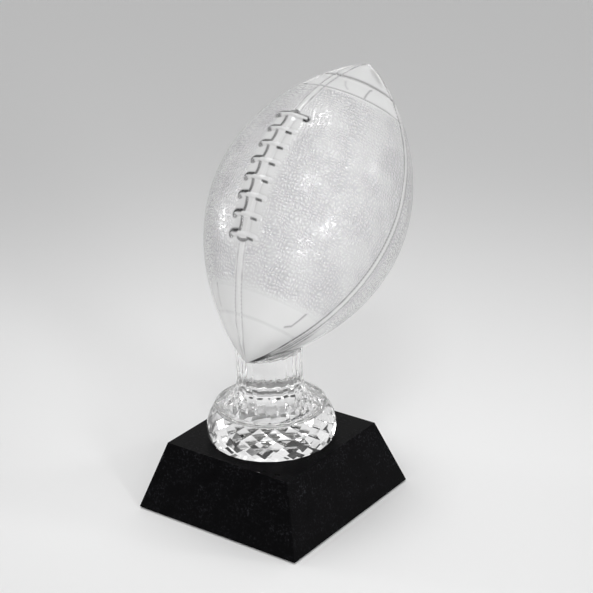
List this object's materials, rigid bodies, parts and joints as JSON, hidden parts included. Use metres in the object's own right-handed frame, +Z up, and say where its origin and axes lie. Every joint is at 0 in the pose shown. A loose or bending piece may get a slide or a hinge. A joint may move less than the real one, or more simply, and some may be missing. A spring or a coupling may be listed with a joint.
{
  "type": "glass football trophy",
  "caption": "Clear glass American football leaning back on a fluted stem and a diamond-cut foot, on a tapered black marble plinth with felt underneath.",
  "frame": {"origin": "middle of the felt's underside, on the surface that the trophy stands on", "axes": "+Z up along the stem; -Y is the front, which the lacing faces; +X is to the right seen from the front; the ball leans back towards +Y"},
  "size_m": [0.129, 0.1883, 0.2695],
  "materials": {
    "felt": "short black wool pile",
    "adhesive_sheet": "double-sided adhesive tissue",
    "black_marble": "honed black marble with faint grey flecks",
    "cured_adhesive": "water-clear cured adhesive film",
    "white_epoxy": "white epoxy bed, cured cloudy, seen through the foot",
    "clear_glass": "polished and cut clear glass, pebbled on the ball's panels"
  },
  "bodies": {
    "root": {"felt_pad": "felt", "felt_adhesive": "adhesive_sheet", "plinth": "black_marble", "foot_bond": "white_epoxy", "cut_foot": "clear_glass", "stem_bond": "cured_adhesive", "stem": "clear_glass", "ball_bond": "cured_adhesive", "football": "clear_glass"}
  },
  "joints": []
}
